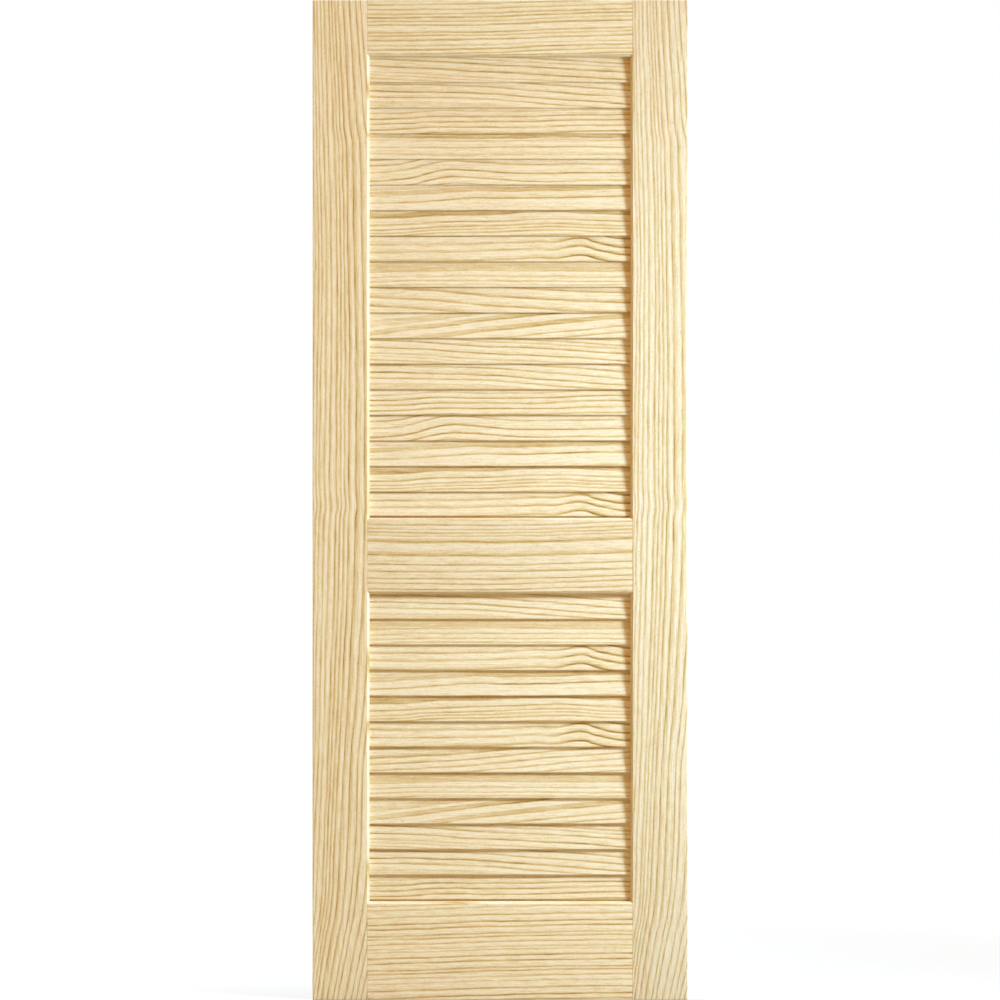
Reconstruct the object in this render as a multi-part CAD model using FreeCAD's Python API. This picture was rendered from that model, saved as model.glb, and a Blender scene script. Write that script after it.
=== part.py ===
import FreeCAD, Part

import math
import os

# Louvred interior door leaf in clear pine, as sawn and assembled by a joiner: two full-height stiles,
# three rails coped between them, and two panels of fixed louvres housed in the stiles.
# Frame: +Z up, X across the leaf from the hinge edge, Y through its thickness, front face at -Y.
# The origin is on the hinge edge, at the middle of its thickness and level with the bottom of the leaf.

# Driving dimensions of the leaf, in millimetres
DOOR_WIDTH = 762.0
DOOR_HEIGHT = 2032.0
DOOR_THICKNESS = 35.0
STILE_WIDTH = 115.5
TOP_RAIL_HEIGHT = 114.0
LOCK_RAIL_HEIGHT = 154.0
BOTTOM_RAIL_HEIGHT = 200.0

# Edge treatment
STICKING_CHAMFER = 4.6  # bevel on every arris that faces a louvre opening, on both faces
OUTER_ARRIS_RADIUS = 2.0  # eased arrises round the outside of the leaf, on both faces
JOINT_GROOVE = 0.8  # width of the fine V that shows where a rail's face meets a stile

# Louvres
UPPER_LOUVRES = 18
LOWER_LOUVRES = 12
LOUVRE_THICKNESS = 6.0
LOUVRE_EDGE_RADIUS = 2.5
LOUVRE_OVERLAP = 5.0  # height by which a louvre hides the one below it
LOUVRE_AIR_GAP = 1.6  # slot between two louvres, square to their faces
LOUVRE_HEAD_SHOW = 0.9  # how much more of a panel's top louvre shows than of the others
LOUVRE_FOOT_GAP = 2.2  # ripped off a panel's lowest louvre, which leaves an open joint over the rail
LIP_HEIGHT = 8.0  # lip on the rail behind a panel's lowest louvre, which closes the view through that joint
HOUSING_DEPTH = 10.0  # how far a louvre's end runs into its stile
HOUSING_CLEARANCE = 0.2  # room round a louvre in its housings and in the groove of the rail above

# Largest share of a louvre's thickness that one rounded edge may take
MOST_ROUNDED_SHARE = 0.48

# Two places nearer than this are the same place
SAME_PLACE = 0.001

# Values that follow from the driving dimensions
OPENINGS_HEIGHT = DOOR_HEIGHT - TOP_RAIL_HEIGHT - LOCK_RAIL_HEIGHT - BOTTOM_RAIL_HEIGHT
LOUVRE_PITCH = (OPENINGS_HEIGHT - 2 * LOUVRE_HEAD_SHOW) / (UPPER_LOUVRES + LOWER_LOUVRES)
LOWER_OPENING_BOTTOM = BOTTOM_RAIL_HEIGHT
LOCK_RAIL_BOTTOM = LOWER_OPENING_BOTTOM + LOWER_LOUVRES * LOUVRE_PITCH + LOUVRE_HEAD_SHOW
LOCK_RAIL_TOP = LOCK_RAIL_BOTTOM + LOCK_RAIL_HEIGHT
TOP_RAIL_BOTTOM = LOCK_RAIL_TOP + UPPER_LOUVRES * LOUVRE_PITCH + LOUVRE_HEAD_SHOW

FRONT = -DOOR_THICKNESS / 2
BACK = DOOR_THICKNESS / 2

# Two neighbouring louvres lie one thickness and one air gap apart, which sets their slope from upright
LOUVRE_SLOPE = math.asin((LOUVRE_THICKNESS + LOUVRE_AIR_GAP) / LOUVRE_PITCH)
LOUVRE_HEIGHT = LOUVRE_PITCH + LOUVRE_OVERLAP
LOUVRE_WIDTH = (LOUVRE_HEIGHT - LOUVRE_THICKNESS * math.sin(LOUVRE_SLOPE)) / math.cos(LOUVRE_SLOPE)
LOUVRE_ROUNDING = min(LOUVRE_EDGE_RADIUS, MOST_ROUNDED_SHARE * LOUVRE_THICKNESS)


def rounded_wire(corners):
    """Closed wire through (point, radius) corners. A radius above zero rounds that corner with an arc."""
    starts, ends, arcs = [], [], []
    count = len(corners)
    for index, (point, radius) in enumerate(corners):
        if radius <= 0:
            starts.append(point)
            ends.append(point)
            arcs.append(None)
            continue
        to_last = (corners[index - 1][0] - point).normalize()
        to_next = (corners[(index + 1) % count][0] - point).normalize()
        half_angle = to_last.getAngle(to_next) / 2
        tangent = radius / math.tan(half_angle)
        inward = (to_last + to_next).normalize()
        middle = point + inward * (radius / math.sin(half_angle) - radius)
        start = point + to_last * tangent
        end = point + to_next * tangent
        starts.append(start)
        ends.append(end)
        arcs.append(Part.Arc(start, middle, end).toShape())
    edges = []
    for index in range(count):
        if arcs[index]:
            edges.append(arcs[index])
        edges.append(Part.LineSegment(ends[index], starts[(index + 1) % count]).toShape())
    return Part.Wire(edges)


def prism(corners, sweep):
    """Solid from a closed section, swept along one vector."""
    return Part.Face(rounded_wire(corners)).extrude(sweep)


def leaf_envelope():
    """The leaf's whole block, with the arrises of its top and bottom ends eased."""
    section = [
        (FreeCAD.Vector(0, FRONT, 0), OUTER_ARRIS_RADIUS),
        (FreeCAD.Vector(0, BACK, 0), OUTER_ARRIS_RADIUS),
        (FreeCAD.Vector(0, BACK, DOOR_HEIGHT), OUTER_ARRIS_RADIUS),
        (FreeCAD.Vector(0, FRONT, DOOR_HEIGHT), OUTER_ARRIS_RADIUS),
    ]
    return prism(section, FreeCAD.Vector(DOOR_WIDTH, 0, 0))


def stile_blank(inner_x, outer_x):
    """Full-height stile before it is housed: bevelled on its inner arrises, eased on its outer ones."""
    inward = math.copysign(1, inner_x - outer_x)
    shoulder = inner_x - inward * STICKING_CHAMFER
    section = [
        (FreeCAD.Vector(outer_x, FRONT, 0), OUTER_ARRIS_RADIUS),
        (FreeCAD.Vector(shoulder, FRONT, 0), 0),
        (FreeCAD.Vector(inner_x, FRONT + STICKING_CHAMFER, 0), 0),
        (FreeCAD.Vector(inner_x, BACK - STICKING_CHAMFER, 0), 0),
        (FreeCAD.Vector(shoulder, BACK, 0), 0),
        (FreeCAD.Vector(outer_x, BACK, 0), OUTER_ARRIS_RADIUS),
    ]
    return prism(section, FreeCAD.Vector(0, 0, DOOR_HEIGHT)).common(leaf_envelope())


def rail(bottom, top, bevelled_levels, stiles):
    """Rail between the stiles, bevelled where it faces an opening and coped over the stiles' own bevels."""
    start = STILE_WIDTH - STICKING_CHAMFER + JOINT_GROOVE
    corner = FreeCAD.Vector(start, FRONT, bottom)
    blank = Part.makeBox(DOOR_WIDTH - 2 * start, DOOR_THICKNESS, top - bottom, corner)
    arrises = []
    for edge in blank.Edges:
        runs_across = edge.BoundBox.XLength > SAME_PLACE
        bevelled = any(abs(edge.CenterOfMass.z - level) < SAME_PLACE for level in bevelled_levels)
        if runs_across and bevelled:
            arrises.append(edge)
    blank = blank.makeChamfer(STICKING_CHAMFER, arrises).common(leaf_envelope())
    for stile in stiles:
        blank = blank.cut(stile)
    return blank


def lip(level):
    """Low lip between the stiles on a rail's top, behind the lowest louvre and flush with the rear bevel."""
    corner = FreeCAD.Vector(STILE_WIDTH, 0, level)
    return Part.makeBox(DOOR_WIDTH - 2 * STILE_WIDTH, BACK - STICKING_CHAMFER, LIP_HEIGHT, corner)


def louvre_bar(foot, trim, start, end, grow=0.0):
    """Louvre from X start to end, grown all round. It leans back as it rises.

    Its foot is the height of the lowest corner of its section before the edges are rounded and before the
    trim is ripped off its lower edge.
    """
    up = FreeCAD.Vector(0, math.sin(LOUVRE_SLOPE), math.cos(LOUVRE_SLOPE))
    out = FreeCAD.Vector(0, -math.cos(LOUVRE_SLOPE), math.sin(LOUVRE_SLOPE))
    centre = FreeCAD.Vector(start, 0, foot + LOUVRE_HEIGHT / 2)
    lower = trim - LOUVRE_WIDTH / 2 - grow
    upper = LOUVRE_WIDTH / 2 + grow
    half_thickness = LOUVRE_THICKNESS / 2 + grow
    section = []
    for along, side in ((lower, -1), (lower, 1), (upper, 1), (upper, -1)):
        corner = centre + up * along + out * (side * half_thickness)
        section.append((corner, LOUVRE_ROUNDING + grow))
    return prism(section, FreeCAD.Vector(end - start, 0, 0))


def louvre_places(opening_bottom, count):
    """Foot and trim of the louvres in one panel, from the top louvre down."""
    feet = [opening_bottom + LOUVRE_PITCH * step for step in reversed(range(count))]
    trims = [0.0] * (count - 1) + [LOUVRE_FOOT_GAP]
    return list(zip(feet, trims))


def build():
    """Every piece of the leaf, by name."""
    upper_places = louvre_places(LOCK_RAIL_TOP, UPPER_LOUVRES)
    lower_places = louvre_places(LOWER_OPENING_BOTTOM, LOWER_LOUVRES)
    housed_from = STILE_WIDTH - HOUSING_DEPTH
    housed_to = DOOR_WIDTH - housed_from
    slots = []
    for foot, trim in upper_places + lower_places:
        slots.append(louvre_bar(foot, trim, housed_from, housed_to, HOUSING_CLEARANCE))

    hinge_stile = stile_blank(STILE_WIDTH, 0)
    latch_stile = stile_blank(DOOR_WIDTH - STILE_WIDTH, DOOR_WIDTH)
    stiles = (hinge_stile, latch_stile)
    pieces = {
        "hinge_stile": hinge_stile.cut(slots),
        "latch_stile": latch_stile.cut(slots),
    }

    # The top louvre of each panel runs up into a groove in the rail above it, and the lowest clears a lip
    top_rail = rail(TOP_RAIL_BOTTOM, DOOR_HEIGHT, (TOP_RAIL_BOTTOM,), stiles)
    lock_rail = rail(LOCK_RAIL_BOTTOM, LOCK_RAIL_TOP, (LOCK_RAIL_BOTTOM, LOCK_RAIL_TOP), stiles)
    lock_rail = lock_rail.fuse(lip(LOCK_RAIL_TOP)).removeSplitter()
    bottom_rail = rail(0, BOTTOM_RAIL_HEIGHT, (BOTTOM_RAIL_HEIGHT,), stiles)
    bottom_rail = bottom_rail.fuse(lip(BOTTOM_RAIL_HEIGHT)).removeSplitter()
    pieces["top_rail"] = top_rail.cut(slots[0])
    pieces["lock_rail"] = lock_rail.cut(slots[UPPER_LOUVRES - 1:UPPER_LOUVRES + 1])
    pieces["bottom_rail"] = bottom_rail.cut(slots[-1])

    start = housed_from + HOUSING_CLEARANCE
    end = housed_to - HOUSING_CLEARANCE
    for panel, places in (("upper", upper_places), ("lower", lower_places)):
        for number, (foot, trim) in enumerate(places, 1):
            pieces[f"{panel}_louvre_{number:02d}"] = louvre_bar(foot, trim, start, end)
    return pieces


def main():
    os.makedirs("parts", exist_ok=True)
    for name, shape in build().items():
        shape.exportStep(f"parts/{name}.step")


main()
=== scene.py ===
# Looks of a bare pine louvred door leaf. Every board keeps its solid and gets a pine of its own, with growth
# rings that run through the wood. A soft lamp at the right rakes across the front, and its twin across the
# back.
import math
from dataclasses import dataclass

import bpy
from mathutils import Matrix, Vector


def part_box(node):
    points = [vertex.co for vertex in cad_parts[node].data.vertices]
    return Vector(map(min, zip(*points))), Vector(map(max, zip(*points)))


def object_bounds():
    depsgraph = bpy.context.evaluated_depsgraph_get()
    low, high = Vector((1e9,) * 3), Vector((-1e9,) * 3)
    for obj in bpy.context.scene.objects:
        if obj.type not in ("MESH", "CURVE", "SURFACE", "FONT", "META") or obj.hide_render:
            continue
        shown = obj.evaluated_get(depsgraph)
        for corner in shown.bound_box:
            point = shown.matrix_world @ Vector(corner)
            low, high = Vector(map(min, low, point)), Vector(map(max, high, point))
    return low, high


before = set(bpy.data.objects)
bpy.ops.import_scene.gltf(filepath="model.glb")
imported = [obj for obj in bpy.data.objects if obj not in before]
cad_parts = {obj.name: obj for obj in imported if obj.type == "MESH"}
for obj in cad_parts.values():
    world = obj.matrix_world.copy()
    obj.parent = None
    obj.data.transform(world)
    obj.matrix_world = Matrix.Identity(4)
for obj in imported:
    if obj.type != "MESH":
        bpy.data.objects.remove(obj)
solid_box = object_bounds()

MM = 0.001


def srgb(red, green, blue):
    """Linear colour, with alpha, of an 8-bit screen colour."""
    channels = []
    for value in (red, green, blue):
        share = value / 255
        channels.append(share / 12.92 if share <= 0.04045 else ((share + 0.055) / 1.055) ** 2.4)
    return (*channels, 1.0)


# Colours of bare sanded pine, from pale earlywood to dark latewood
CREAM = srgb(244, 226, 195)
STRAW = srgb(229, 202, 157)
TAN = srgb(210, 175, 117)
BROWN = srgb(176, 139, 74)
UMBER = srgb(128, 86, 36)
RESIN = srgb(150, 104, 58)
# Darkness at which the wood has each of its tones
TONES = ((0.0, CREAM), (0.3, STRAW), (0.65, TAN), (1.0, BROWN), (1.6, UMBER))
DEEPEST = TONES[-1][0]
# Tints that the colour drifts between
ROSY = (1.0, 0.95, 0.94, 1.0)
GREENISH = (0.98, 1.0, 0.955, 1.0)

# Growth rings across the grain, in millimetres. A side of a ring that is wider than BROAD_FROM drops to a
# share of the ring's darkness within RING_SIDE of its line, and then fades. A band starts with a sharp edge,
# and any other ring with a small share of its darkness.
RING_SIDE = 2.0
BROAD_FROM = 3.0
BROAD_SHARE = 0.5
FIRST_SHARE = 0.15
BAND_EDGE = 0.8
# Plain wood before a figure's first ring and after its last
RING_MARGIN = 5.0
# How far the rings lean through the thickness of a thin louvre and of a thick board, as a slope
THIN_LEAN = 0.3
THICK_LEAN = 1.2
# Largest drift of the rings across a board that a figure can hold, in millimetres
SWAY_LIMIT = 64.0
# Widest that a figure can space its rings, and the boldest it can draw them
SPACING_LIMIT = 2.0
BOLD_LIMIT = 2.0


@dataclass(frozen=True)
class Figure:
    """How the growth rings lie on a board's face, in millimetres.

    rings: distance from the board's first edge, then darkness, then, for a broad ring, how far it fades
    before and after its darkest line, then, for a band, the share of its darkness where it starts.
    sway: share of the way along the board, then how far the rings have drifted across it by there.
    spacing: share of the way along the board, then how wide the rings are spaced there.
    bold: share of the way along the board, then how dark the rings are there beside elsewhere.
    fade: how far a plain ring fades before and after its darkest line.
    """
    rings: tuple
    sway: tuple
    spacing: tuple = ()
    bold: tuple = ()
    fade: tuple = (2.9, 2.3)


# Louvres: rings counted down from the louvre above, at the hinge side. The first band or ring of LEVEL_PALE,
# SWIRL and BANDED_TOP runs along the louvre's top, under the nose above: partly grain, partly painted shadow
# of that nose.
FALLING_CLOSE = Figure(
    rings=((-29, 0.5), (-20, 0.45), (-11.5, 0.75), (-4.5, 0.5), (5, 0.9), (19, 0.95), (30.5, 0.5),
           (36.5, 0.35), (43.5, 0.5), (51, 0.55), (58, 0.6)),
    sway=((0, 0), (0.23, 5), (0.4, 11), (0.7, 18.5), (1, 28)),
)
FALLING_LATE = Figure(
    rings=((-30, 0.5), (-19, 0.5), (-8.5, 0.8), (5, 0.8), (18.5, 1), (29.5, 0.7), (52, 0.35, 15, 3, 0.7),
           (60, 0.6)),
    sway=((0, 0), (0.23, 2), (0.46, 5.5), (0.62, 12), (0.77, 17.5), (1, 26)),
)
RISING_THEN_LEVEL = Figure(
    rings=((1, 0.5, 8, 3), (13, 0.55), (23.5, 0.9), (33.5, 0.85), (44.5, 0.85), (56, 0.85), (66, 0.6)),
    sway=((0, 0), (0.15, -2), (0.23, -5), (0.46, -5), (0.7, -6), (0.78, -8), (1, -9.5)),
)
LEVEL_PALE = Figure(
    # Its first band, along the top under the nose above, is partly grain and partly painted shadow of that
    # nose
    rings=((9, 0.75, 10, 1.5, 0.8), (14.5, 0.5), (28, 0.6), (42, 0.45, 6, 3), (54, 0.6)),
    sway=((0, 0), (0.2, 1), (0.45, 1.5), (0.7, 0), (1, 0)),
    bold=((0, 0.55), (0.12, 0.75), (0.2, 1), (0.7, 1.05), (1, 1)),
)
HUMP = Figure(
    rings=((-8, 0.5), (4, 0.7), (15, 0.75), (28, 0.65), (45.5, 0.95), (60, 0.8), (73, 0.6), (84, 0.5)),
    sway=((0, 0), (0.12, -4), (0.17, -9), (0.23, -17), (0.31, -24), (0.37, -23), (0.45, -20), (0.52, -17),
          (0.65, -15.5), (0.8, -16.5), (1, -17)),
    bold=((0, 1), (0.15, 1.1), (0.3, 1.3), (0.5, 1.1), (1, 0.9)),
)
RISING_EARLY = Figure(
    rings=((2, 0.5), (12.5, 0.5), (24, 0.64, 9.5, 2, 0.8), (38.5, 0.95), (64, 0.6), (72, 0.5)),
    sway=((0, 0), (0.15, -3), (0.3, -8), (0.42, -11.5), (0.5, -10.5), (0.7, -11.5), (0.85, -13.5),
          (1, -14.5)),
    bold=((0, 0.75), (0.3, 0.8), (0.45, 1.1), (1, 1.15)),
)
ARCH = Figure(
    rings=((4, 0.5, 6, 3), (17.5, 0.85, 11, 2.5, 0.75), (31.5, 0.8), (40.5, 0.7), (46.5, 0.6), (53, 0.7),
           (62, 0.6), (70, 0.5)),
    sway=((0, 0), (0.12, -1.5), (0.23, -6), (0.46, -8.5), (0.6, -11.5), (0.75, -12.5), (0.85, -10),
          (1, -7.5)),
)
SWIRL = Figure(
    # Its first ring, along the top under the nose above, is partly grain and partly painted shadow of that
    # nose
    rings=((2, 0.7), (18.5, 0.7, 5, 2.9), (33, 0.7, 5, 2.9), (50.5, 0.8, 6, 2.9), (66, 0.6)),
    sway=((0, 0), (0.23, 0), (0.46, -2), (0.58, -4.5), (0.65, -6), (0.71, -5), (0.75, -8), (0.79, -11.5),
          (0.82, -11.8), (0.86, -6), (0.9, -1), (0.95, 4), (1, 6)),
    bold=((0, 0.95), (0.6, 0.95), (0.7, 1.05), (0.8, 1.7), (0.9, 2), (1, 1.9)),
)
BANDED_TOP = Figure(
    # Its first band, along the top under the nose above, is partly painted shadow of that nose and partly
    # grain
    rings=((3.5, 0.7, 6, 2.5, 0.5), (23.5, 0.5, 17.5, 1.2, 0.75), (33.5, 0.45), (42.5, 0.5), (50, 0.5),
           (60, 0.5)),
    sway=((0, 0), (0.23, -3), (0.46, -3.5), (0.8, -2.5), (1, -2)),
)
FALLING_WIDE = Figure(
    rings=((-37, 0.7, 6, 3), (-18, 0.8, 6, 3), (1, 0.9, 6, 3), (20.5, 0.95, 6, 3), (38.5, 0.85, 6, 3),
           (57, 0.7, 6, 3)),
    sway=((0, 0), (0.23, 7), (0.46, 17), (0.7, 25), (0.85, 29), (1, 31)),
)
DIAGONAL = Figure(
    rings=((10, 0.35), (30, 0.5, 12, 2, 0.7), (44.5, 0.9, 8, 2.5, 0.5), (66, 0.7, 9, 2.5, 0.6), (82, 0.6),
           (93.5, 0.6), (104, 0.5)),
    sway=((0, 0), (0.17, -10), (0.3, -18), (0.46, -29), (0.62, -37), (0.71, -42), (1, -55)),
    bold=((0, 0.7), (0.2, 0.8), (0.3, 0.95), (0.45, 1), (0.6, 1.25), (1, 1.2)),
)
RISING_EVEN = Figure(
    rings=((7, 0.65), (23, 0.9, 7, 3), (35.5, 0.8), (47.5, 0.75), (59.5, 0.7), (71.5, 0.65), (82, 0.6),
           (91, 0.5)),
    sway=((0, 0), (0.23, -5), (0.4, -10.5), (0.54, -17), (0.7, -25), (0.85, -31), (1, -35.5)),
)

LOUVRE_FIGURES = {
    "upper": (FALLING_CLOSE, FALLING_LATE, RISING_THEN_LEVEL, LEVEL_PALE, HUMP, RISING_EARLY, ARCH, SWIRL,
              BANDED_TOP, FALLING_WIDE, DIAGONAL, FALLING_CLOSE, FALLING_LATE, RISING_THEN_LEVEL, HUMP,
              RISING_EARLY, ARCH, SWIRL),
    "lower": (FALLING_LATE, BANDED_TOP, SWIRL, RISING_EARLY, ARCH, SWIRL, RISING_EVEN, BANDED_TOP, DIAGONAL,
              FALLING_CLOSE, FALLING_LATE, RISING_THEN_LEVEL),
}

# Rails: rings counted down from the top of the rail's face, at the hinge side. The lower two carry a lip
# above it, of this height in millimetres.
RAIL_LIP = 8.0
TOP_RAIL = Figure(
    rings=((2, 0.3), (10, 0.6), (20, 0.5), (29.5, 0.6), (36.5, 0.75), (44.5, 0.45), (52, 0.75), (67, 0.6),
           (74, 0.55), (83, 0.7), (93.5, 0.4), (101.5, 0.7), (109.5, 0.6), (118, 0.7), (126, 0.6)),
    sway=((0, 0), (0.3, -1), (0.55, -4), (0.7, -7.5), (0.85, -10), (1, -12)),
)
LOCK_RAIL = Figure(
    rings=((3, 0.3), (13, 0.6), (22, 0.5), (29, 0.6), (36, 0.45), (47.5, 0.8, 6, 5), (75, 0.8, 8, 3),
           (94, 0.7), (107.5, 0.65), (122.5, 0.7), (132.5, 0.65), (144, 0.65), (153, 0.5), (162, 0.5)),
    sway=((0, 0), (0.4, 2), (0.6, 1), (0.8, -2), (1, -6)),
)
BOTTOM_RAIL = Figure(
    rings=((10, 0.5), (19, 0.5), (34.5, 0.65), (48.5, 0.9), (58.5, 0.85), (72, 0.6), (79, 0.65),
           (89.5, 0.55), (99.5, 0.4), (105.5, 0.4), (117.5, 0.9), (128, 0.85), (142, 0.65), (149, 0.7),
           (159.5, 0.5), (169.5, 0.4), (183.5, 0.65), (198, 0.85), (208, 0.8)),
    sway=((0, 0), (0.2, -3), (0.4, -7), (0.6, -9.5), (0.8, -11.5), (1, -12)),
)

# Stiles: rings counted from the left edge, a little above mid-height, that draw closer toward both ends
STILE = Figure(
    rings=((-1, 0.6), (7.5, 0.6), (14.8, 0.6), (24.4, 0.65), (35, 0.65, 2, 6), (48, 0.75, 2, 6),
           (56.3, 0.7), (65, 0.7, 2, 6), (74.2, 0.85, 2, 7), (88, 0.9, 2, 12), (105.5, 0.85, 2, 9),
           (124, 0.8), (137, 0.85), (157, 0.75, 2, 8), (176, 0.8), (191, 0.75), (206, 0.8), (220, 0.7)),
    sway=((0, -2.4), (0.02, -1.8), (0.1, 0.6), (0.128, 1), (0.142, 1.4), (0.16, 1.6), (0.25, 6),
          (0.34, 3.6), (0.44, 0), (0.49, -0.8), (0.506, 1), (0.518, -2), (0.54, -3), (0.6, -4.9),
          (0.66, -7), (0.7, -7.5), (0.76, -8.7), (0.84, -17.3), (0.9, -20), (0.94, -30), (1, -44)),
    spacing=((0, 0.722), (0.02, 0.74), (0.1, 0.815), (0.128, 0.85), (0.142, 0.9), (0.16, 0.907),
             (0.25, 0.894), (0.34, 0.958), (0.44, 1), (0.54, 1.018), (0.6, 1.004), (0.66, 0.947),
             (0.7, 0.907), (0.76, 0.82), (0.84, 0.84), (0.9, 0.789), (0.94, 0.754), (1, 0.69)),
    fade=(2.0, 4.0),
)

# Weight of the rings of each stile, and how pale its colour is: partly the board's own tone, partly painted
# light lifting the hinge stile, farther from the lamp, against its falloff
STILES = (
    ("hinge_stile", 1.1, (1.05, 1.06, 1.08)),
    ("latch_stile", 1.0, (0.99, 1.01, 1.06)),
)
# Figure, lip and paleness of each rail, and ring weight for all; paleness is partly own tone, partly painted
# light lifting the bottom rail against lamp falloff
RAILS = (
    ("top_rail", TOP_RAIL, 0.0, (1.02, 1.04, 1.05)),
    ("lock_rail", LOCK_RAIL, RAIL_LIP, (0.99, 0.98, 0.98)),
    ("bottom_rail", BOTTOM_RAIL, RAIL_LIP, (1.09, 1.09, 1.1)),
)
RAIL_WEIGHT = 1.2

# Directions in which grain and rings are counted
RIGHT = Vector((1, 0, 0))
DOWN = Vector((0, 0, -1))


@dataclass(frozen=True)
class Board:
    """One board, its figure, and the place and directions its grain is measured from, in metres.

    lean: how far the rings drift through its thickness, as a slope.
    weight: how dark its rings are beside those of the other boards.
    shade: how pale its red, green and blue are beside those of the other boards, partly its own tone and
    partly painted light that evens out the lamp's falloff.
    """
    node: str
    figure: Figure
    start: Vector
    grain: Vector
    across: Vector
    length: float
    lean: float
    weight: float = 1.0
    tone_and_light_lift: tuple = (1.0, 1.0, 1.0)


@dataclass(frozen=True)
class Drift:
    """Random drift through a board.

    size: length of its patches along, across and into the board, in millimetres.
    start, end: values that it drifts between.
    low, high: noise levels at which it reaches them.
    detail: how many finer noises are laid over the first.
    """
    size: tuple
    start: float
    end: float
    low: float = 0.3
    high: float = 0.7
    detail: float = 2.0


# How far the rings wander across the board, in millimetres
SLOW_WANDER = Drift((110, 22, 22), -1.3, 1.3, 0.25, 0.75)
QUICK_WANDER = Drift((24, 5, 5), -0.35, 0.35, 0.25, 0.75)
# Rings fade in and out along the grain, and faint rings, streaks and fibres fill the space between them
RING_STRENGTH = Drift((90, 4, 4), 0.6, 1.15)
FAINT_RINGS = Drift((320, 2.6, 2.6), -0.06, 0.17, detail=3.0)
STREAKS = Drift((30, 1.5, 1.5), -0.15, 0.17, detail=3.0)
MOTTLE = Drift((30, 5, 5), -0.08, 0.08, detail=3.0)
FIBRES = Drift((6, 1.8, 1.8), -0.08, 0.08)
# Share of the second tint in the colour, and of resin in a fleck
BLUSH = Drift((50, 7, 7), 0.0, 1.0, detail=3.0)
FLECKS = Drift((8, 1.2, 1.2), 0.0, 0.5, 0.69, 0.76, 1.0)
# How far apart in the noise two boards lie, so that no two look alike
SEED_STEP = (977.0, 331.0, 173.0)

# Sanded surface: relief of the rings, with its depth in millimetres, and the sheen
BUMP_STRENGTH = 0.25
BUMP_DEPTH = 0.25
WOOD_IOR = 1.45
WOOD_SPECULAR = 0.3
PALE_ROUGHNESS = 0.62
DARK_ROUGHNESS = 0.5


class Graph:
    """Short calls for building the nodes of one material."""

    def __init__(self, tree):
        self.tree = tree
        tree.nodes.clear()

    def add(self, kind, **settings):
        node = self.tree.nodes.new(kind)
        for key, value in settings.items():
            setattr(node, key, value)
        return node

    def feed(self, socket, value):
        if isinstance(value, bpy.types.NodeSocket):
            self.tree.links.new(value, socket)
        else:
            socket.default_value = value

    def math(self, operation, first, second):
        node = self.add("ShaderNodeMath", operation=operation)
        self.feed(node.inputs[0], first)
        self.feed(node.inputs[1], second)
        return node.outputs[0]

    def vector(self, operation, first, second):
        node = self.add("ShaderNodeVectorMath", operation=operation)
        self.feed(node.inputs[0], first)
        self.feed(node.inputs[1], second)
        return node.outputs[0]

    def drift(self, place, drift):
        """Value of a random drift at a place in the board."""
        node = self.add("ShaderNodeTexNoise")
        self.feed(node.inputs["Vector"], self.vector("DIVIDE", place, drift.size))
        self.feed(node.inputs["Scale"], 1.0)
        self.feed(node.inputs["Detail"], drift.detail)
        return self.spread(node.outputs["Fac"], drift.low, drift.high, drift.start, drift.end)

    def spread(self, value, low, high, start, end):
        """Value moved from the range low to high into the range start to end, and held inside it."""
        node = self.add("ShaderNodeMapRange")
        for name, number in (("Value", value), ("From Min", low), ("From Max", high), ("To Min", start),
                             ("To Max", end)):
            self.feed(node.inputs[name], number)
        return node.outputs[0]

    def curve(self, value, points, handle):
        """Value read off a curve through points whose places and heights run from 0 to 1."""
        node = self.add("ShaderNodeFloatCurve")
        line = node.mapping.curves[0]
        line.points[0].location = points[0]
        line.points[-1].location = points[-1]
        for point in points[1:-1]:
            line.points.new(*point)
        for point in line.points:
            point.handle_type = handle
        node.mapping.extend = "HORIZONTAL"
        node.mapping.update()
        self.feed(node.inputs["Value"], value)
        return node.outputs[0]

    def mix(self, factor, first, second, blend="MIX"):
        """Two colours mixed. The node's colour sockets are its inputs 6 and 7 and its output 2."""
        node = self.add("ShaderNodeMix", data_type="RGBA", blend_type=blend)
        self.feed(node.inputs[0], factor)
        self.feed(node.inputs[6], first)
        self.feed(node.inputs[7], second)
        return node.outputs[2]

    def plain(self, kind, colour):
        """Shader of one kind in one colour."""
        node = self.add(kind)
        node.inputs["Color"].default_value = colour
        return node.outputs[0]

    def blend(self, factor, first, second):
        """First shader where the factor is 0 and second where it is 1."""
        node = self.add("ShaderNodeMixShader")
        self.feed(node.inputs[0], factor)
        self.feed(node.inputs[1], first)
        self.feed(node.inputs[2], second)
        return node.outputs[0]

    def ramp(self, factor, stops):
        """Colour read off stops of (place from 0 to 1, colour)."""
        node = self.add("ShaderNodeValToRGB")
        elements = node.color_ramp.elements
        elements[0].position, elements[0].color = stops[0]
        elements[1].position, elements[1].color = stops[-1]
        for position, colour in stops[1:-1]:
            elements.new(position).color = colour
        self.feed(node.inputs[0], factor)
        return node.outputs[0]


def board_place(graph, board):
    """Place in the board, in millimetres along the grain, across it and into the board."""
    turn = Matrix((board.grain, board.across, board.grain.cross(board.across)))
    mapping = graph.add("ShaderNodeMapping")
    mapping.inputs["Scale"].default_value = (1 / MM, 1 / MM, 1 / MM)
    mapping.inputs["Rotation"].default_value = turn.to_euler()
    mapping.inputs["Location"].default_value = turn @ board.start / -MM
    graph.feed(mapping.inputs["Vector"], graph.add("ShaderNodeTexCoord").outputs["Object"])
    return mapping.outputs[0]


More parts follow.
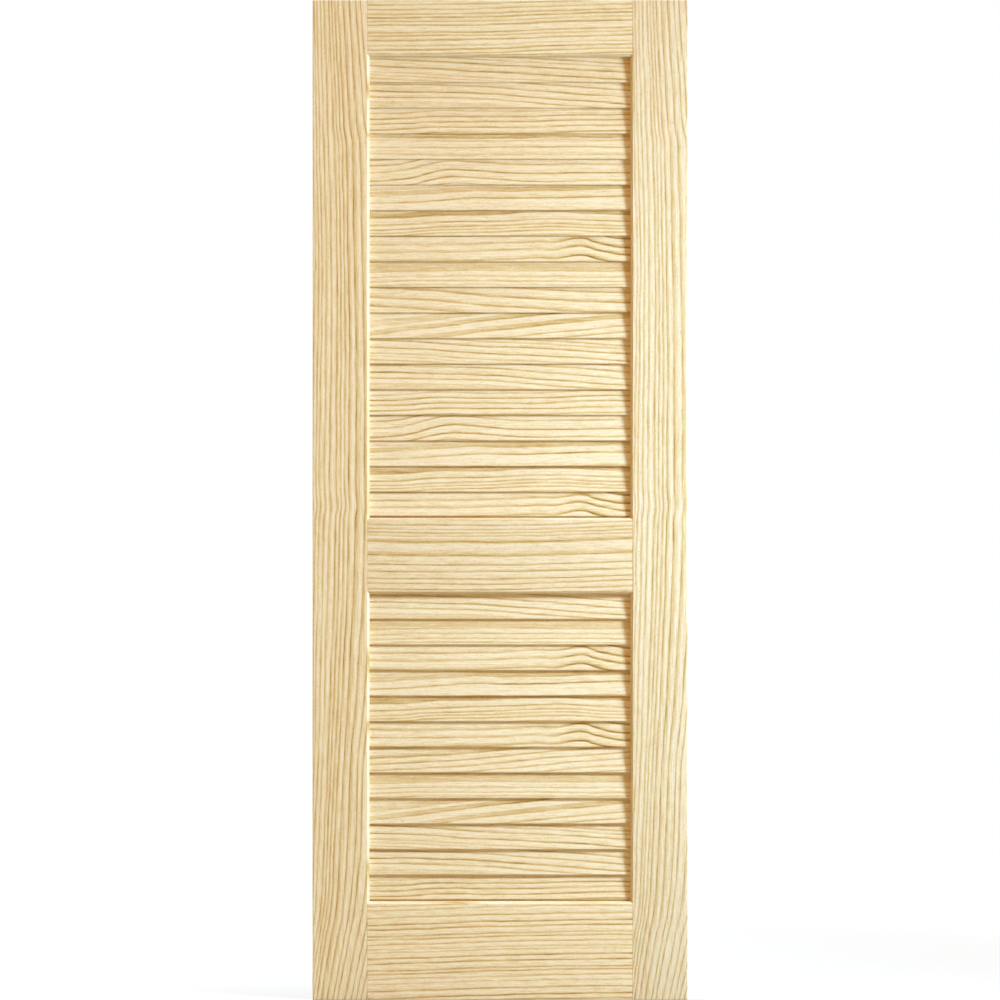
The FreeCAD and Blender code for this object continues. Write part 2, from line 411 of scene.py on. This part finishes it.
def ring_outline(figure):
    """Corners of the darkness across the rings, each dark at its own line and faded on both sides of it."""
    corners = []
    edge = figure.rings[0][0] - RING_MARGIN
    for position, darkness, *wide in figure.rings:
        before, after, *kept = wide or figure.fade
        start = max(position - before, edge)
        first_share = kept[0] if kept else FIRST_SHARE
        if kept:
            corners.append((start, 0.0))
            start += BAND_EDGE
        corners.append((start, first_share * darkness))
        if position - start > BROAD_FROM:
            corners.append((position - RING_SIDE, max(BROAD_SHARE, first_share) * darkness))
        corners.append((position, darkness))
        if after > BROAD_FROM:
            corners.append((position + RING_SIDE, BROAD_SHARE * darkness))
        edge = position + after
        corners.append((edge, 0.0))
    return corners


def along_curve(graph, share, points, limit):
    """Value that follows points of (share of the way along the board, value), none beyond the limit."""
    heights = [(part, 0.5 + value / (2 * limit)) for part, value in points]
    height = graph.math("SUBTRACT", graph.curve(share, heights, "AUTO"), 0.5)
    return graph.math("MULTIPLY", height, 2 * limit)


def ring_darkness(graph, board, place, wander):
    """Darkness of the growth rings at a place, from 0 between two rings to 1 or more on a dark one."""
    figure = board.figure
    split = graph.add("ShaderNodeSeparateXYZ")
    graph.feed(split.inputs[0], place)
    along, across, deep = split.outputs
    share = graph.math("DIVIDE", along, board.length / MM)
    ring = graph.math("SUBTRACT", across, along_curve(graph, share, figure.sway, SWAY_LIMIT))
    if figure.spacing:
        ring = graph.math("DIVIDE", ring, along_curve(graph, share, figure.spacing, SPACING_LIMIT))
    lean = graph.math("MULTIPLY", deep, board.lean)
    ring = graph.math("ADD", graph.math("ADD", ring, lean), wander)
    low = figure.rings[0][0] - RING_MARGIN
    high = figure.rings[-1][0] + RING_MARGIN
    outline = [((at - low) / (high - low), darkness) for at, darkness in ring_outline(figure)]
    outline = [(0.0, 0.0), *outline, (1.0, 0.0)]
    # Beyond the first and the last ring the figure runs back the other way
    inside = graph.math("PINGPONG", graph.math("SUBTRACT", ring, low), high - low)
    darkness = graph.curve(graph.math("DIVIDE", inside, high - low), outline, "VECTOR")
    if figure.bold:
        darkness = graph.math("MULTIPLY", darkness, along_curve(graph, share, figure.bold, BOLD_LIMIT))
    return graph.math("MULTIPLY", darkness, board.weight)


def pine(board, seed):
    """Bare sanded pine for one board, with rings, fibres, resin flecks and blotches of colour."""
    material = bpy.data.materials.new(f"pine_{board.node}")
    material.use_nodes = True
    graph = Graph(material.node_tree)
    place = board_place(graph, board)
    apart = graph.vector("ADD", place, tuple(seed * step for step in SEED_STEP))

    wander = graph.math("ADD", graph.drift(apart, SLOW_WANDER), graph.drift(apart, QUICK_WANDER))
    late = ring_darkness(graph, board, place, wander)
    late = graph.math("MULTIPLY", late, graph.drift(apart, RING_STRENGTH))
    for part in (FAINT_RINGS, STREAKS, MOTTLE, FIBRES):
        late = graph.math("ADD", late, graph.drift(apart, part))
    late = graph.math("MAXIMUM", late, 0.0)

    stops = tuple((darkness / DEEPEST, tone) for darkness, tone in TONES)
    colour = graph.ramp(graph.math("DIVIDE", late, DEEPEST), stops)
    # Paleness of the board: partly its own tone, partly painted light against the lamp's falloff
    tone_and_light_lift = (*board.tone_and_light_lift, 1.0)
    tints = [tuple(a * b for a, b in zip(tint, tone_and_light_lift)) for tint in (GREENISH, ROSY)]
    tint = graph.ramp(graph.drift(apart, BLUSH), ((0.0, tints[0]), (1.0, tints[1])))
    colour = graph.mix(1.0, colour, tint, "MULTIPLY")
    colour = graph.mix(graph.drift(apart, FLECKS), colour, RESIN)

    bump = graph.add("ShaderNodeBump")
    bump.inputs["Strength"].default_value = BUMP_STRENGTH
    bump.inputs["Distance"].default_value = BUMP_DEPTH * MM
    graph.feed(bump.inputs["Height"], late)

    surface = graph.add("ShaderNodeBsdfPrincipled")
    surface.inputs["IOR"].default_value = WOOD_IOR
    surface.inputs["Specular IOR Level"].default_value = WOOD_SPECULAR
    graph.feed(surface.inputs["Base Color"], colour)
    graph.feed(surface.inputs["Roughness"], graph.spread(late, 0.0, 1.0, PALE_ROUGHNESS, DARK_ROUGHNESS))
    graph.feed(surface.inputs["Normal"], bump.outputs[0])
    output = graph.add("ShaderNodeOutputMaterial")
    graph.feed(output.inputs["Surface"], surface.outputs[0])
    return material


def louvre_boards(panel, left, right):
    """The louvres of one panel, from the top down. Their grain runs from the hinge side to the latch side."""
    names = sorted(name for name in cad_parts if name.startswith(f"{panel}_louvre_"))
    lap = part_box(names[1])[1].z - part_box(names[0])[0].z
    boards = []
    for name, figure in zip(names, LOUVRE_FIGURES[panel]):
        low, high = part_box(name)
        start = Vector((left, low.y, high.z - lap))
        boards.append(Board(name, figure, start, RIGHT, DOWN, right - left, THIN_LEAN))
    return boards


def all_boards():
    """Every board of the leaf with its figure."""
    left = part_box("hinge_stile")[1].x
    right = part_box("latch_stile")[0].x
    boards = []
    for name, weight, tone_and_light_lift in STILES:
        low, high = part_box(name)
        start = Vector((low.x, low.y, high.z))
        boards.append(Board(name, STILE, start, DOWN, RIGHT, high.z - low.z, THICK_LEAN, weight, tone_and_light_lift))
    for name, figure, lip, tone_and_light_lift in RAILS:
        low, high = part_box(name)
        start = Vector((left, low.y, high.z - lip * MM))
        boards.append(Board(name, figure, start, RIGHT, DOWN, right - left, THICK_LEAN, RAIL_WEIGHT, tone_and_light_lift))
    return boards + louvre_boards("upper", left, right) + louvre_boards("lower", left, right)


def dress_boards():
    """Gives every board its pine."""
    for seed, board in enumerate(all_boards(), 1):
        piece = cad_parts[board.node]
        piece.data.materials.clear()
        piece.data.materials.append(pine(board, seed))


# Studio, in metres: a warm fill from all round, a cool soft lamp in front, at the right and above, its twin
# behind, and a weak one over the top edge. The lamps beside the leaf are turned away from it, so that their
# light falls evenly.
DOOR_CENTRE = (solid_box[0] + solid_box[1]) / 2
FILL_COLOUR = (0.69, 0.43, 0.135, 1.0)
LAMP_COLOUR = (0.49, 0.745, 1.0)
LAMP_WATTS = 220.0
LAMP_WIDTH = 0.8
LAMP_HEIGHT = 0.9
FRONT_LAMP_OFFSET = Vector((2.0, -1.35, 0.9))
FRONT_LAMP_FACING = Vector((-1.0, -0.6, -0.8))
HALF_TURN = Matrix.Rotation(math.pi, 3, "Z")
TOP_LAMP_WATTS = 9.0
TOP_LAMP_OFFSET = Vector((0, 0, 2.0))
FLOOR_HALF = 6.0
# The floor is lifted to white by a glow where it is seen, its shadow fades out away from the leaf, and the
# light that it returns to the leaf is warm
FLOOR_GREY = (0.33, 0.31, 0.3, 1.0)
FLOOR_BOUNCE = (0.34, 0.3, 0.22, 1.0)
FLOOR_GLOW = (0.51, 0.51, 0.51, 1.0)
WHITE = (1.0, 1.0, 1.0, 1.0)
FLOOR_FADE_START = 0.6
FLOOR_FADE_END = 1.8
CAMERA_DISTANCE = 9.0
SENSOR_MM = 36.0


def lamp(name, watts, offset, facing):
    """Soft lamp, placed from the middle of the leaf."""
    light = bpy.data.lights.new(name, "AREA")
    light.shape = "RECTANGLE"
    light.size = LAMP_WIDTH
    light.size_y = LAMP_HEIGHT
    light.energy = watts
    light.color = LAMP_COLOUR
    holder = bpy.data.objects.new(name, light)
    holder.location = DOOR_CENTRE + offset
    holder.rotation_euler = facing.to_track_quat("-Z", "Y").to_euler()
    holder.visible_camera = False
    bpy.context.scene.collection.objects.link(holder)


def seen_directly(graph):
    """1 for rays that show the backdrop itself or mirror it, and 0 for rays that only gather light."""
    path = graph.add("ShaderNodeLightPath")
    shiny = graph.math("MAXIMUM", path.outputs["Is Glossy Ray"], path.outputs["Is Transmission Ray"])
    return graph.math("MAXIMUM", path.outputs["Is Camera Ray"], shiny)


def white_room():
    """World that looks white and gives the warm fill."""
    world = bpy.data.worlds.new("white_room")
    world.use_nodes = True
    graph = Graph(world.node_tree)
    fill = graph.plain("ShaderNodeBackground", FILL_COLOUR)
    surface = graph.blend(seen_directly(graph), fill, graph.plain("ShaderNodeBackground", WHITE))
    graph.feed(graph.add("ShaderNodeOutputWorld").inputs["Surface"], surface)
    bpy.context.scene.world = world


def white_floor():
    """Pale floor. Where it is seen it is lifted to white, with a soft shadow left on it near the leaf."""
    material = bpy.data.materials.new("white_floor")
    material.use_nodes = True
    graph = Graph(material.node_tree)
    foot = (DOOR_CENTRE.x, DOOR_CENTRE.y, solid_box[0].z)
    away = graph.add("ShaderNodeVectorMath", operation="DISTANCE")
    graph.feed(away.inputs[0], graph.add("ShaderNodeTexCoord").outputs["Object"])
    graph.feed(away.inputs[1], foot)
    fade = graph.spread(away.outputs["Value"], FLOOR_FADE_START, FLOOR_FADE_END, 0.0, 1.0)
    near = graph.add("ShaderNodeAddShader")
    graph.feed(near.inputs[0], graph.plain("ShaderNodeBsdfDiffuse", FLOOR_GREY))
    graph.feed(near.inputs[1], graph.plain("ShaderNodeEmission", FLOOR_GLOW))
    shown = graph.blend(fade, near.outputs[0], graph.plain("ShaderNodeEmission", WHITE))
    bounce = graph.plain("ShaderNodeBsdfDiffuse", FLOOR_BOUNCE)
    surface = graph.blend(seen_directly(graph), bounce, shown)
    graph.feed(graph.add("ShaderNodeOutputMaterial").inputs["Surface"], surface)

    mesh = bpy.data.meshes.new("floor")
    level = solid_box[0].z
    corners = [(DOOR_CENTRE.x + x * FLOOR_HALF, y * FLOOR_HALF, level)
               for x, y in ((-1, -1), (1, -1), (1, 1), (-1, 1))]
    mesh.from_pydata(corners, [], [(0, 1, 2, 3)])
    mesh.materials.append(material)
    floor = bpy.data.objects.new("floor", mesh)
    bpy.context.scene.collection.objects.link(floor)


def square_on_camera():
    """Level camera square to the front, with the leaf's height filling a square picture."""
    data = bpy.data.cameras.new("camera")
    data.sensor_width = SENSOR_MM
    data.lens = SENSOR_MM * CAMERA_DISTANCE / (solid_box[1].z - solid_box[0].z)
    camera = bpy.data.objects.new("camera", data)
    camera.location = (DOOR_CENTRE.x, solid_box[0].y - CAMERA_DISTANCE, DOOR_CENTRE.z)
    camera.rotation_euler = Vector((0, 1, 0)).to_track_quat("-Z", "Y").to_euler()
    bpy.context.scene.collection.objects.link(camera)
    bpy.context.scene.camera = camera


dress_boards()
white_room()
white_floor()
lamp("front_lamp", LAMP_WATTS, FRONT_LAMP_OFFSET, FRONT_LAMP_FACING)
lamp("back_lamp", LAMP_WATTS, HALF_TURN @ FRONT_LAMP_OFFSET, HALF_TURN @ FRONT_LAMP_FACING)
lamp("top_lamp", TOP_LAMP_WATTS, TOP_LAMP_OFFSET, -TOP_LAMP_OFFSET)
square_on_camera()
bpy.context.scene.view_settings.view_transform = "Standard"
